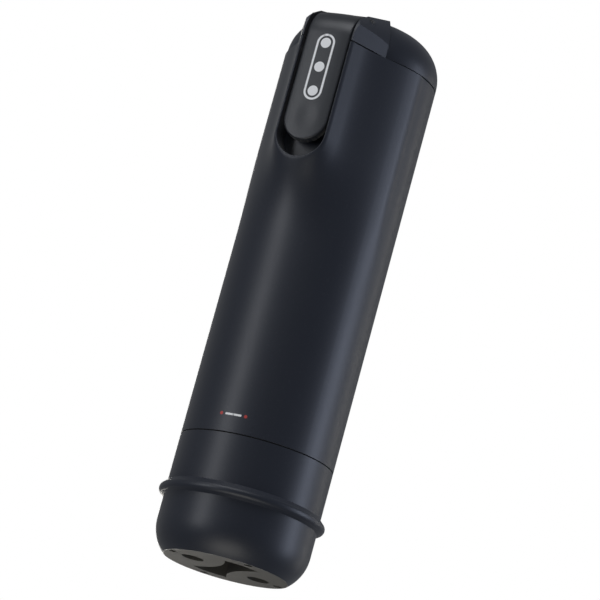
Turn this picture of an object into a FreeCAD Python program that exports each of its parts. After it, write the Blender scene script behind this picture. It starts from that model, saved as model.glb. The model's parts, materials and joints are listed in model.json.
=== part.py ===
import FreeCAD, Part
import math
import os
import Sketcher

# Hand-held canister that stores three tennis balls under air pressure.
# Frame: origin at the centre of the base's bottom face, +Z up along the tube.
# The latch lever faces -Y and the lid hinge is on the +Y side. Sizes are in millimetres.

SIZES = {
    # outer tube
    "tube_radius": 42.0, "tube_wall": 2.5, "tube_low": 64.1, "tube_height": 218.4,
    # raised latch housing on the tube and the lid
    "housing_rise": 12.7, "rim_width": 0.9, "flank_foot": 0.625, "hood_depth": 26.0,
    "chin_slope": 1.84,
    "shoulder_radius": 17.0, "shoulder_rise": 2.5, "crest_slope": 0.3,
    "roof_width": 3.8, "roof_rise": 0.2, "roof_spread": 0.43,
    "slot_half": 14.0, "slot_length": 67.8, "slot_depth": 11.2, "rim_round": 0.3,
    # ball chamber
    "liner_gap": 1.5, "liner_wall": 2.5, "floor_height": 7.9, "floor_spigot": 3.0,
    "rim_drop": 1.5, "rim_ring_height": 5.0, "floor_seal_size": 1.8, "floor_seal_rise": 0.6,
    # lid
    "lid_gap": 0.8, "lid_height": 24.7, "dome_rise": 1.7, "lid_wall": 3.0,
    "core_flange": 2.7, "core_clearance": 0.2, "plug_depth": 8.0, "plug_clearance": 1.0,
    "gasket_gap": 0.2, "ear_width": 4.0, "ear_reach": 7.5, "cheek_wall": 2.0,
    "lid_screw_inset": 6.5, "lid_screw_radius": 1.5, "lid_screw_depth": 7.0,
    "boss_wall": 2.0,
    # hinge at the back
    "hinge_stand": 2.5, "hinge_drop": 0.3, "knuckle_radius": 3.5, "hinge_pin_radius": 1.6,
    "knuckle_half": 7.0, "knuckle_end": 14.0, "hinge_clearance": 0.5, "pin_clearance": 0.05,
    # latch lever and the pin it hooks on
    "lever_gap": 1.4, "lever_inset": 0.4, "lever_clearance": 1.9, "lever_drop": 57.8,
    "lever_wall": 3.0, "pivot_depth": 18.2, "pivot_rise": 12.2, "pivot_round": 7.0,
    "pivot_clearance": 2.4, "lever_pin_radius": 1.8, "undercut": 3.6, "hook_drop": 37.5,
    "catch_stand": 4.4, "catch_drop": 5.9, "catch_radius": 2.0, "catch_clearance": 0.35,
    "catch_seat": 1.0, "head_radius": 2.65, "head_length": 1.6, "head_clearance": 0.1,
    # pump handle: the base section
    "seam_gap": 0.7, "base_inset": 7.7, "base_round_top": 17.0, "base_round": 22.6,
    "base_wall": 3.0, "plate_gap": 0.4, "plate_thickness": 4.0, "ledge": 4.0,
    "flange_rise": 3.2, "flange_low": 29.8, "flange_high": 37.6, "flange_round": 2.6,
    "well_depth": 9.0, "well_wall": 1.5, "grip_reach": 24.5, "grip_half": 10.0,
    "grip_waist": 4.7, "grip_side": 50.0, "dock_radius": 6.0, "dock_circle": 19.5,
    "screw_inset": 2.9, "screw_head": 2.35, "screw_sink": 2.0, "screw_shank": 1.3,
    "screw_depth": 5.0, "boss_height": 6.0,
    # pump inside the base
    "sleeve_clearance": 0.3, "sleeve_wall": 2.0, "sleeve_low": 19.0, "sleeve_flange": 3.0,
    "pump_bore": 14.0, "pump_wall": 2.0, "pump_low": 13.0, "gland_height": 3.5,
    "pump_lip": 5.0, "rod_radius": 4.0, "piston_height": 8.0, "piston_room": 2.6,
    "piston_clearance": 0.4, "seal_clearance": 0.04, "small_shank": 1.1, "small_head": 2.1,
    "small_head_height": 2.0, "rod_screw_depth": 8.0, "rod_head_height": 2.5,
    "clip_width": 1.5, "clip_thickness": 1.0,
    # valves in the chamber floor
    "inlet_port": 3.0, "valve_radius": 5.5, "valve_thickness": 1.5, "valve_clearance": 0.6,
    "cage_radius": 9.0, "cage_thickness": 2.0, "vent_radius": 1.2, "vent_circle": 3.41,
    "relief_offset": 6.0, "relief_bore": 4.0, "relief_port": 1.5, "relief_depth": 6.4,
    "poppet_clearance": 0.3, "wire": 0.6,
}


class Size:
    """A length that keeps its value and the expression it came from."""

    def __init__(self, value, text):
        self.value = value
        self.text = text

    def _with(self, other, sign, value):
        text = other.text if isinstance(other, Size) else repr(float(other))
        return Size(value, "(%s %s %s)" % (self.text, sign, text))

    def __add__(self, other):
        return self._with(other, "+", self.value + number(other))

    def __sub__(self, other):
        return self._with(other, "-", self.value - number(other))

    def __mul__(self, other):
        return self._with(other, "*", self.value * number(other))

    def __truediv__(self, other):
        return self._with(other, "/", self.value / number(other))

    def __neg__(self):
        return Size(-self.value, "(0 - %s)" % self.text)

    def root(self):
        return Size(math.sqrt(self.value), "sqrt(%s)" % self.text)


def number(value):
    return value.value if isinstance(value, Size) else float(value)


def as_size(value):
    return value if isinstance(value, Size) else Size(float(value), repr(float(value)))


doc = FreeCAD.newDocument("ball_canister")
sheet = doc.addObject("Spreadsheet::Sheet", "Sizes")
for row, (alias, size) in enumerate(SIZES.items(), 1):
    sheet.set("A%d" % row, alias)
    sheet.set("B%d" % row, str(size))
    sheet.setAlias("B%d" % row, alias)
doc.recompute()


class Sheet:
    """Reads a cell of the spreadsheet as a Size."""

    def __getattr__(self, alias):
        return Size(float(sheet.get(alias)), "Sizes." + alias)


S = Sheet()
TURNS = {
    "z": FreeCAD.Rotation(),
    "x": FreeCAD.Rotation(FreeCAD.Vector(0, 1, 0), 90),
    "front": FreeCAD.Rotation(FreeCAD.Vector(1, 0, 0), 90),
}
NODES = {}


# ---- building blocks ----

def bind(obj, **sizes):
    for name, size in sizes.items():
        setattr(obj, name, number(size))
        obj.setExpression(name, as_size(size).text)


def place(obj, x=0, y=0, z=0, turn="z"):
    """Puts an object at x, y, z with its own Z along +Z, +X or -Y (front)."""
    rotation = TURNS[turn] if isinstance(turn, str) else turn
    base = FreeCAD.Vector(number(x), number(y), number(z))
    obj.Placement = FreeCAD.Placement(base, rotation)
    for letter, size in (("x", x), ("y", y), ("z", z)):
        obj.setExpression("Placement.Base." + letter, as_size(size).text)
    return obj


def cylinder(name, radius, height, x=0, y=0, z=0, turn="z"):
    obj = doc.addObject("Part::Cylinder", name)
    bind(obj, Radius=radius, Height=height)
    return place(obj, x, y, z, turn)


def rod_across(name, radius, half, y, z):
    """A cylinder along X, centred on x = 0."""
    return cylinder(name, radius, half * 2, -half, y, z, "x")


def block(name, low, high):
    """A box between two corners given as (x, y, z)."""
    obj = doc.addObject("Part::Box", name)
    span = [as_size(b) - a for a, b in zip(low, high)]
    bind(obj, Length=span[0], Width=span[1], Height=span[2])
    return place(obj, *low)


def joined(name, *shapes):
    if len(shapes) == 1:
        return shapes[0]
    obj = doc.addObject("Part::MultiFuse", name)
    obj.Shapes = list(shapes)
    return obj


def common(name, *shapes):
    obj = doc.addObject("Part::MultiCommon", name)
    obj.Shapes = list(shapes)
    return obj


def minus(name, base, *tools):
    obj = doc.addObject("Part::Cut", name)
    obj.Base = base
    obj.Tool = tools[0] if len(tools) == 1 else joined(name + "_tools", *tools)
    return obj


def mirrored(name, source):
    """The source and its mirror image across the YZ plane."""
    obj = doc.addObject("Part::Mirroring", name + "_mirror")
    obj.Source = source
    obj.Normal = (1, 0, 0)
    return joined(name, source, obj)


def node(name, obj):
    """Names an object as a sub-part."""
    obj.Label = name
    NODES[name] = obj
    return obj


def outline(sketch, points):
    """Draws a closed outline. A point is (x, y), or (x, y, radius) when an arc leads to it
    from the point before: anticlockwise, or clockwise when the radius is negative. Every
    size is bound to the sheet."""
    places = [FreeCAD.Vector(number(p[0]), number(p[1]), 0) for p in points]
    vertices = []  # the vertices where each line or arc starts and ends
    for index, point in enumerate(points):
        start, end = places[index - 1], places[index]
        if len(point) == 2:
            sketch.addGeometry(Part.LineSegment(start, end), False)
            vertices.append((1, 2))
            continue
        radius = number(point[2])
        middle = (start + end) * 0.5
        half = (end - start).Length / 2
        normal = FreeCAD.Vector(start.y - end.y, end.x - start.x, 0).normalize()
        centre = middle + normal * math.copysign(math.sqrt(radius ** 2 - half ** 2), radius)
        angles = [math.atan2(p.y - centre.y, p.x - centre.x) for p in (start, end)]
        circle = Part.Circle(centre, FreeCAD.Vector(0, 0, 1), abs(radius))
        first, last = angles if radius > 0 else reversed(angles)
        sketch.addGeometry(Part.ArcOfCircle(circle, first, last), False)
        vertices.append((1, 2) if radius > 0 else (2, 1))
    for index, point in enumerate(points):
        follower = (index + 1) % len(points)
        end = vertices[index][1]
        sketch.addConstraint(Sketcher.Constraint(
            "Coincident", index, end, follower, vertices[follower][0]))
        for kind, size in (("DistanceX", point[0]), ("DistanceY", point[1])):
            made = sketch.addConstraint(
                Sketcher.Constraint(kind, -1, 1, index, end, number(size)))
            sketch.setExpression("Constraints[%d]" % made, as_size(size).text)
        if len(point) == 3:
            size = as_size(point[2])
            size = size if size.value > 0 else -size
            made = sketch.addConstraint(Sketcher.Constraint("Radius", index, size.value))
            sketch.setExpression("Constraints[%d]" % made, size.text)


def turned(name, points):
    """A PartDesign body: an outline of (radius, height) points turned about the Z axis."""
    body = doc.addObject("PartDesign::Body", name)
    sketch = body.newObject("Sketcher::SketchObject", name + "_outline")
    planes = [f for f in body.Origin.OriginFeatures if f.Role == "XZ_Plane"]
    sketch.AttachmentSupport = [(planes[0], "")]
    sketch.MapMode = "FlatFace"
    doc.recompute()
    outline(sketch, points)
    turn = body.newObject("PartDesign::Revolution", name + "_turn")
    turn.Profile = sketch
    turn.ReferenceAxis = (sketch, ["V_Axis"])
    turn.Angle = 360
    return body


def prism(name, points, rotation, height, x=0, y=0, z=0, centred=False):
    """An outline pushed along its own normal."""
    sketch = doc.addObject("Sketcher::SketchObject", name + "_outline")
    outline(sketch, points)
    place(sketch, x, y, z, rotation)
    push = doc.addObject("Part::Extrusion", name)
    push.Base = sketch
    push.DirMode = "Normal"
    push.Solid = True
    push.Symmetric = centred
    bind(push, LengthFwd=height)
    return push


def rounded(name, source, radius, wanted):
    """Rounds the edges of the source that the test picks out."""
    doc.recompute()
    picked = [i for i, edge in enumerate(source.Shape.Edges, 1) if wanted(edge)]
    obj = doc.addObject("Part::Fillet", name)
    obj.Base = source
    obj.Edges = [(index, number(radius), number(radius)) for index in picked]
    return obj


def around(count, start=0.0):
    """Unit directions spread evenly around the Z axis."""
    for index in range(count):
        angle = math.radians(start + 360.0 * index / count)
        yield math.cos(angle), math.sin(angle)


def screws(name, places, low, head, head_height, shank, top):
    """A group of screws that point up: heads at low, shanks up to top."""
    made = []
    for index, (x, y) in enumerate(places):
        tag = "%s_%d" % (name, index)
        cap = cylinder(tag + "_head", head, head_height, x, y, low)
        socket = cylinder(tag + "_socket", head * 0.5, head_height * 0.6, x, y, low)
        body = cylinder(tag + "_shank", shank, as_size(top) - low, x, y, low)
        made.append(minus(tag, joined(tag + "_blank", cap, body), socket))
    return joined(name, *made)


def holes(name, places, radius, low, high):
    return joined(name, *[cylinder("%s_%d" % (name, i), radius, as_size(high) - low, x, y, low)
                          for i, (x, y) in enumerate(places)])


def coil(name, ring, low, high, x=0, turns=4):
    """A spring drawn as closed rings of wire."""
    gap = (as_size(high) - low - S.wire) / (turns - 1)
    rings = []
    for index in range(turns):
        obj = doc.addObject("Part::Torus", "%s_%d" % (name, index))
        bind(obj, Radius1=ring, Radius2=S.wire / 2)
        rings.append(place(obj, x, 0, as_size(low) + S.wire / 2 + gap * index))
    return joined(name, *rings)


# Sketch X along -Y (outwards at the front) and sketch Y along +Z; the normal is -X.
SIDE = FreeCAD.Rotation(FreeCAD.Vector(0, -1, 0), FreeCAD.Vector(0, 0, 1),
                        FreeCAD.Vector(-1, 0, 0), "ZXY")
# Sketch X along +Y and sketch Y along +Z; the normal is +X.
SIDE_BACK = FreeCAD.Rotation(FreeCAD.Vector(0, 1, 0), FreeCAD.Vector(0, 0, 1),
                             FreeCAD.Vector(1, 0, 0), "ZXY")
# Sketch X along +X and sketch Y along -Y; the normal is -Z.
PLAN = FreeCAD.Rotation(FreeCAD.Vector(1, 0, 0), FreeCAD.Vector(0, -1, 0),
                        FreeCAD.Vector(0, 0, -1), "ZXY")
# An ellipse's long axis along +Z and its short axis along +X; the normal is +Y.
UPRIGHT = FreeCAD.Rotation(FreeCAD.Vector(0, 0, 1), FreeCAD.Vector(1, 0, 0),
                           FreeCAD.Vector(0, 1, 0), "ZXY")

# ---- lengths that several pieces share ----

FAR = S.tube_radius * 2
tube_top = S.tube_low + S.tube_height
tube_bore = S.tube_radius - S.tube_wall
liner_outer = tube_bore - S.liner_gap
liner_bore = liner_outer - S.liner_wall
lid_low = tube_top + S.lid_gap
lid_top = lid_low + S.lid_height
rim_top = tube_top - S.rim_drop
dome_round = S.lid_height - S.dome_rise
dome_centre = lid_low + S.dome_rise
chamber_low = S.tube_low + S.floor_height
floor_split = chamber_low - S.floor_spigot
flange_top = lid_low + S.core_flange
lid_screw_circle = liner_bore - S.lid_screw_inset
hinge_out = S.tube_radius + S.hinge_stand
hinge_up = lid_low - S.hinge_drop
housing_front = S.tube_radius + S.housing_rise
housing_half = S.slot_half + S.rim_width
foot_x = S.tube_radius * S.flank_foot
foot_out = (S.tube_radius * S.tube_radius - foot_x * foot_x).root()
slot_low = tube_top - S.slot_length
slot_end = slot_low + S.slot_half
slot_floor = housing_front - S.slot_depth
pivot_out = housing_front - S.pivot_depth
pivot_up = lid_low + S.pivot_rise
pivot_y = -pivot_out
lever_half = S.slot_half - S.lever_gap
lever_back = slot_floor + S.lever_clearance
lever_tip = tube_top - S.lever_drop
lever_end = lever_tip + lever_half
undercut_top = tube_top - S.hook_drop
catch_out = slot_floor + S.catch_stand
catch_up = tube_top - S.catch_drop
catch_half = S.slot_half + S.catch_seat
catch_y = -catch_out
base_top = S.tube_low - S.seam_gap
base_bore = S.tube_radius - S.base_wall
base_edge = S.tube_radius - S.base_inset
plate_radius = base_edge - S.plate_gap
flange_radius = S.tube_radius + S.flange_rise
screw_circle = plate_radius - S.screw_inset
sleeve_radius = base_bore - S.sleeve_clearance
well_top = S.well_depth + S.well_wall
piston_top = S.tube_low - S.piston_room
piston_low = piston_top - S.piston_height
pump_outer = S.pump_bore + S.pump_wall
pump_flange = pump_outer + S.pump_lip
relief_place = pump_flange + S.relief_offset


def housing_plan():
    """Plan of the housing: straight flanks from the front corners to the tube."""
    return [(0, 0), (foot_x, foot_out), (housing_half, housing_front),
            (-housing_half, housing_front), (-foot_x, foot_out)]


def make_housing():
    """The housing on the tube. Above the slot's end its flanks are straight. Below, it is a
    hood that grows from a half circle at the front to a tall half ellipse inside the tube."""
    flanks = prism("housing_flanks", housing_plan(), PLAN, tube_top - slot_end, z=tube_top)
    widening = (foot_x - housing_half) / (housing_front - foot_out)
    rings = []
    for index, depth in enumerate((as_size(0), S.hood_depth)):
        ring = doc.addObject("Part::Ellipse", "hood_ring_%d" % index)
        bind(ring, MajorRadius=housing_half + depth * S.chin_slope,
             MinorRadius=housing_half + depth * widening)
        rings.append(place(ring, 0, depth - housing_front, slot_end, UPRIGHT))
    loft = doc.addObject("Part::Loft", "hood_loft")
    loft.Sections, loft.Solid, loft.Ruled = rings, True, True
    lower = block("hood_block", (-FAR, -FAR, 0), (FAR, 0, slot_end))
    return joined("housing", flanks, common("hood", loft, lower))


def crest(front, radius):
    """Points of the shoulder: up the front, round the bend and along the sloping crest."""
    bend_out = front - radius
    bend_up = lid_low + S.shoulder_rise
    tilt = (S.crest_slope * S.crest_slope + 1).root()
    end_out = bend_out + radius * S.crest_slope / tilt
    end_up = bend_up + radius / tilt
    return (front, bend_up), (end_out, end_up, radius)


# ---- canister ----

def make_outer_tube():
    skin = cylinder("tube_skin", S.tube_radius, tube_top - S.tube_low, z=S.tube_low)
    web_low = hinge_up - S.knuckle_radius * 3
    knuckle = cylinder("tube_knuckle", S.knuckle_radius,
                       S.knuckle_end - S.knuckle_half - S.hinge_clearance,
                       S.knuckle_half + S.hinge_clearance, hinge_out, hinge_up, "x")
    web = prism("tube_knuckle_web", [
        (S.tube_radius - S.tube_wall / 2, web_low), (hinge_out + S.knuckle_radius, hinge_up),
        (S.tube_radius - S.tube_wall / 2, hinge_up)], SIDE_BACK,
        S.knuckle_end - S.knuckle_half - S.hinge_clearance,
        x=S.knuckle_half + S.hinge_clearance)
    knuckles = mirrored("tube_knuckles", joined("tube_knuckle_right", knuckle, web))
    bore = cylinder("tube_bore", tube_bore, tube_top - S.tube_low, z=S.tube_low)
    slot = joined("latch_slot",
                  block("latch_slot_box", (-S.slot_half, -FAR, slot_end),
                        (S.slot_half, -slot_floor, tube_top)),
                  cylinder("latch_slot_end", S.slot_half, FAR - slot_floor,
                           y=-slot_floor, z=slot_end, turn="front"))
    barrel_room = rod_across("lid_barrel_room", S.knuckle_radius + S.hinge_clearance,
                             S.knuckle_half + S.hinge_clearance, hinge_out, hinge_up)
    hinge_hole = rod_across("tube_hinge_hole", S.hinge_pin_radius, S.knuckle_end,
                            hinge_out, hinge_up)
    catch_hole = rod_across("catch_hole", S.catch_radius, catch_half, catch_y, catch_up)
    head_hole = mirrored("catch_head_holes", cylinder(
        "catch_head_hole", S.head_radius + S.head_clearance, S.tube_radius - catch_half, catch_half,
        catch_y, catch_up, "x"))
    whole = joined("tube_whole", skin, make_housing())
    opened = minus("tube_opened", whole, slot)

    def rim_edge(edge):
        """The slot's rim: its two straight sides and its round end."""
        box = edge.BoundBox
        flat = abs(box.YMin + number(housing_front)) < 0.01 and box.YLength < 0.01
        inside = max(box.XMax, -box.XMin) < number(S.slot_half) + 0.01
        return flat and inside and box.ZLength > 1
    soft = rounded("tube_softened", opened, S.rim_round, rim_edge)
    drilled = minus("tube_drilled", soft, bore, catch_hole, head_hole, barrel_room)
    return minus("tube", joined("tube_with_knuckles", drilled, minus(
        "tube_knuckles_trimmed", knuckles, cylinder(
            "tube_bore_again", tube_bore, tube_top - S.tube_low, z=S.tube_low))),
        hinge_hole)


def make_chamber():
    node("pressure_liner", turned("liner", [
        (liner_bore, floor_split), (liner_outer, floor_split), (liner_outer, rim_top),
        (liner_bore, rim_top)]))
    node("rim_ring", turned("rim", [
        (liner_outer, rim_top - S.rim_ring_height), (tube_bore, rim_top - S.rim_ring_height),
        (tube_bore, rim_top), (liner_outer, rim_top)]))
    seal_depth = S.floor_seal_size
    seal_low = floor_split + S.floor_seal_rise
    seal_high = seal_low + S.floor_seal_size
    node("floor_seal", turned("seal", [
        (liner_bore - seal_depth, seal_low), (liner_bore, seal_low),
        (liner_bore, seal_high), (liner_bore - seal_depth, seal_high)]))
    plate = turned("floor_blank", [
        (0, S.tube_low), (tube_bore, S.tube_low), (tube_bore, floor_split),
        (liner_bore, floor_split), (liner_bore, seal_low),
        (liner_bore - seal_depth, seal_low), (liner_bore - seal_depth, seal_high),
        (liner_bore, seal_high), (liner_bore, chamber_low), (0, chamber_low)])
    cage_low = chamber_low - S.cage_thickness
    disc_low = cage_low - S.valve_thickness * 2.5
    relief_top = S.tube_low + S.relief_depth
    tools = [
        cylinder("inlet_hole", S.inlet_port, disc_low - S.tube_low, z=S.tube_low),
        cylinder("inlet_room", S.valve_radius + S.valve_clearance, cage_low - disc_low,
                 z=disc_low),
        cylinder("cage_seat", S.cage_radius, S.cage_thickness, z=cage_low),
        cylinder("relief_room", S.relief_bore, S.relief_depth, relief_place, 0, S.tube_low),
        cylinder("relief_hole", S.relief_port, chamber_low - relief_top, relief_place, 0,
                 relief_top),
        holes("cylinder_screw_holes", pump_screw_places(), S.small_shank, S.tube_low,
              floor_split),
        holes("sleeve_screw_holes", sleeve_screw_places(), S.small_shank, S.tube_low,
              floor_split - 1),
    ]
    node("chamber_floor", minus("floor", plate, *tools))
    cage = cylinder("cage_disc", S.cage_radius, S.cage_thickness, z=cage_low)
    vents = holes("cage_vents", [(S.vent_circle * a, S.vent_circle * b)
                                 for a, b in around(4)], S.vent_radius, cage_low,
                  chamber_low)
    node("inlet_cage", minus("cage", cage, vents))
    node("inlet_disc", cylinder("inlet_disc", S.valve_radius, S.valve_thickness, z=disc_low))
    node("inlet_spring", coil("inlet_spring", S.valve_radius * 0.6,
                              disc_low + S.valve_thickness, cage_low, turns=3))
    poppet_low = relief_top - S.valve_thickness
    plug_top = S.tube_low + S.valve_thickness
    node("relief_poppet", cylinder("relief_poppet", S.relief_bore - S.poppet_clearance, S.valve_thickness,
                                   relief_place, 0, poppet_low))
    node("relief_spring", coil("relief_spring", S.relief_bore * 0.6, plug_top, poppet_low,
                               relief_place))
    plug = cylinder("relief_plug_disc", S.relief_bore, S.valve_thickness, relief_place, 0,
                    S.tube_low)
    vent = cylinder("relief_plug_vent", S.relief_port, S.valve_thickness, relief_place, 0,
                    S.tube_low)
    node("relief_plug", minus("relief_plug", plug, vent))


def pump_screw_places():
    reach = (pump_outer + pump_flange) / 2
    return [(reach * a, reach * b) for a, b in around(4, 45)]


def sleeve_screw_places():
    reach = sleeve_radius - S.sleeve_wall - S.small_head
    return [(reach * a, reach * b) for a, b in around(4, 45)]


def make_pump():
    flange_low = S.tube_low - S.sleeve_flange
    barrel = turned("pump_barrel", [
        (S.pump_bore, S.pump_low), (pump_outer, S.pump_low), (pump_outer, flange_low),
        (pump_flange, flange_low), (pump_flange, S.tube_low), (S.pump_bore, S.tube_low)])
    node("pump_cylinder", minus("pump_cylinder", barrel, holes(
        "pump_flange_holes", pump_screw_places(), S.small_shank, flange_low, S.tube_low)))
    node("cylinder_screws", screws("cylinder_screws", pump_screw_places(),
                                   flange_low - S.small_head_height, S.small_head,
                                   S.small_head_height, S.small_shank, floor_split))
    node("cylinder_gland", turned("gland", [
        (S.rod_radius + S.pin_clearance, S.pump_low), (S.pump_bore, S.pump_low),
        (S.pump_bore, S.pump_low + S.gland_height),
        (S.rod_radius + S.pin_clearance, S.pump_low + S.gland_height)]))
    inner = sleeve_radius - S.sleeve_wall
    collar = inner - S.small_head * 2.5
    sleeve = turned("sleeve_blank", [
        (inner, S.sleeve_low), (sleeve_radius, S.sleeve_low), (sleeve_radius, S.tube_low),
        (collar, S.tube_low), (collar, flange_low), (inner, flange_low)])
    node("guide_sleeve", minus("guide_sleeve", sleeve, holes(
        "sleeve_flange_holes", sleeve_screw_places(), S.small_shank, flange_low, S.tube_low)))
    node("sleeve_screws", screws("sleeve_screws", sleeve_screw_places(),
                                 flange_low - S.small_head_height, S.small_head,
                                 S.small_head_height, S.small_shank, floor_split - 1))


def make_catch():
    pin = rod_across("catch_pin_bar", S.catch_radius, catch_half, catch_y, catch_up)
    taps = mirrored("catch_taps", cylinder(
        "catch_tap", S.small_shank, catch_half / 3, catch_half * (2 / 3), catch_y,
        catch_up, "x"))
    node("catch_pin", minus("catch_pin", pin, taps))
    head = cylinder("catch_screw_head", S.head_radius, S.head_length, catch_half, catch_y,
                    catch_up, "x")
    shank = cylinder("catch_screw_shank", S.small_shank, catch_half / 3,
                     catch_half * (2 / 3), catch_y, catch_up, "x")
    socket = cylinder("catch_screw_socket", S.head_radius * 0.5, S.head_length * 0.6,
                      catch_half + S.head_length * 0.4, catch_y, catch_up, "x")
    screw = minus("catch_screw", joined("catch_screw_blank", head, shank), socket)
    node("catch_pin_screws", mirrored("catch_screws", screw))
    node("hinge_pin", rod_across("hinge_pin", S.hinge_pin_radius, S.knuckle_end,
                                 hinge_out, hinge_up))


# ---- lid ----

def lid_screw_places():
    return [(lid_screw_circle * a, lid_screw_circle * b) for a, b in around(6)
            if b > -0.1]


def make_lid():
    ledge = S.tube_radius - dome_round
    dome = turned("dome", [
        (0, lid_low), (S.tube_radius, lid_low), (S.tube_radius, dome_centre),
        (ledge, lid_top, dome_round), (0, lid_top)])
    plan = prism("lid_housing_plan", housing_plan(), PLAN, lid_top - lid_low,
                 z=lid_top)
    front, bend = crest(housing_front, S.shoulder_radius)
    fall = S.crest_slope * bend[0]
    profile = prism("lid_housing_side", [
        (0, lid_low), (housing_front, lid_low), front, bend, (0, bend[1] + fall)],
        SIDE, FAR, centred=True)
    roof = doc.addObject("Part::Cone", "cheek_roof")
    roof_radius = S.slot_half + S.roof_width
    bind(roof, Radius1=roof_radius + housing_front * S.roof_spread,
         Radius2=roof_radius - S.dome_rise * S.roof_spread,
         Height=housing_front + S.dome_rise)
    place(roof, 0, 0, lid_low + S.roof_rise, "front")
    cheeks = common("cheeks", plan, profile, roof)
    whole = joined("lid_blank", dome, cheeks)
    room = S.pivot_round + S.pivot_clearance
    step = slot_floor - pivot_out
    slot = block("lid_slot", (-S.slot_half, -FAR, flange_top), (
        S.slot_half, pivot_y, lid_top + 1))
    slot = minus("lid_slot_open", slot, block(
        "lid_slot_floor", (-S.slot_half, -slot_floor, lid_low), (
            S.slot_half, pivot_y, pivot_up - (room * room - step * step).root())))
    front_slot = block("lid_front_slot", (-S.slot_half, -FAR, lid_low), (
        S.slot_half, -slot_floor, flange_top))
    pocket = rod_across("lever_pocket", room, S.slot_half, pivot_y, pivot_up)
    cavity = turned("lid_cavity", [
        (0, lid_low), (S.tube_radius - S.lid_wall, lid_low),
        (S.tube_radius - S.lid_wall, dome_centre),
        (ledge, lid_top - S.lid_wall, dome_round - S.lid_wall),
        (0, lid_top - S.lid_wall)])
    keep = block("latch_block", (
        -S.slot_half - S.ear_width - S.cheek_wall, -FAR, flange_top), (
        S.slot_half + S.ear_width + S.cheek_wall, pivot_y + room + S.cheek_wall, lid_top))
    bosses = holes("lid_bosses", lid_screw_places(), S.lid_screw_radius + S.boss_wall, flange_top,
                   lid_top - S.lid_wall)
    hollow = minus("lid_hollow", cavity, keep, bosses)
    ears = mirrored("ear_rooms", ear("ear_room"))
    taps = holes("lid_taps", lid_screw_places(), S.lid_screw_radius, flange_top,
                 flange_top + S.lid_screw_depth)
    barrel = rod_across("lid_barrel", S.knuckle_radius, S.knuckle_half, hinge_out, hinge_up)
    leaf_in = S.tube_radius - S.lid_wall / 2
    leaf = prism("lid_leaf", [
        (leaf_in, lid_low), (hinge_out + S.knuckle_radius * 0.8, lid_low),
        (hinge_out + S.knuckle_radius * 0.5, lid_low + S.knuckle_radius * 0.8),
        (leaf_in, lid_low + S.knuckle_radius * 2.2)], SIDE_BACK, S.knuckle_half * 2,
        centred=True)
    knuckle_room = mirrored("knuckle_rooms", cylinder(
        "knuckle_room", S.knuckle_radius + S.hinge_clearance,
        S.knuckle_end - S.knuckle_half + S.hinge_clearance, S.knuckle_half, hinge_out,
        hinge_up, "x"))
    pin_hole = rod_across("lid_hinge_hole", S.hinge_pin_radius + S.pin_clearance,
                          S.knuckle_half, hinge_out, hinge_up)
    pivot_hole = rod_across("pivot_hole", S.lever_pin_radius, S.slot_half + S.ear_width,
                            pivot_y, pivot_up)
    opened = minus("lid_opened", whole, slot, front_slot, pocket)
    carved = minus("lid_carved", opened, hollow, ears, taps, knuckle_room, pivot_hole)
    node("lid_shell", minus("lid_shell", joined("lid_hinged", carved, barrel, leaf), pin_hole))

    plug_radius = liner_bore - S.plug_clearance
    plug_low = lid_low - S.plug_depth
    dish = plug_radius * 0.7
    core = turned("core_blank", [
        (0, plug_low), (plug_radius, plug_low), (plug_radius, lid_low),
        (liner_outer + S.core_clearance, lid_low), (liner_outer + S.core_clearance, flange_top), (dish, flange_top),
        (dish, plug_low + S.lid_wall), (0, plug_low + S.lid_wall)])
    core_holes = holes("core_holes", lid_screw_places(), S.lid_screw_radius, plug_low,
                       flange_top)
    sinks = holes("core_sinks", lid_screw_places(), S.lid_screw_radius * 2 + 0.3, plug_low,
                  plug_low + 4)
    solid = joined("core_with_ears", core, mirrored("ears", ear("ear")))
    node("lid_core", minus("lid_core", solid, core_holes, sinks, rod_across(
        "ear_hole", S.lever_pin_radius, S.slot_half + S.ear_width, pivot_y, pivot_up)))
    node("lid_screws", screws("lid_screws", lid_screw_places(), plug_low + 1,
                              S.lid_screw_radius * 2, 3, S.lid_screw_radius, flange_top + S.lid_screw_depth))
    node("lid_gasket", turned("lid_gasket", [
        (plug_radius, rim_top + S.gasket_gap), (liner_outer, rim_top + S.gasket_gap),
        (liner_outer, lid_low), (plug_radius, lid_low)]))
    node("lever_pin", rod_across("lever_pin", S.lever_pin_radius, S.slot_half + S.ear_width,
                                 pivot_y, pivot_up))


def ear(name):
    """The right-hand ear that carries the lever's pin inside a cheek."""
    top = pivot_up + S.pivot_round * 0.7
    return block(name, (S.slot_half, pivot_y - S.ear_reach * 0.8, flange_top), (
        S.slot_half + S.ear_width, pivot_y + S.ear_reach * 0.8, top))


# ---- lever ----

def lever_side(name, half, inset):
    """Side profile of the lever, pushed across its width."""
    front = housing_front - S.lever_inset - inset
    start, bend = crest(front, S.shoulder_radius - S.lever_inset - inset)
    round_ = S.pivot_round - inset
    tilt = (S.crest_slope * S.crest_slope + 1).root()
    top = (pivot_out + round_ * S.crest_slope / tilt, pivot_up + round_ / tilt)
    arm = prism(name + "_arm", [
        (lever_back, lever_tip), (front, lever_tip), start, bend, top,
        (pivot_out, pivot_up), (pivot_out + round_ * 0.8, pivot_up - round_ * 0.5),
        (lever_back, pivot_up - S.pivot_round * 0.55)], SIDE, half * 2, centred=True)
    return joined(name, arm, rod_across(name + "_knuckle", round_, half, pivot_y,
                                        pivot_up))


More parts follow.
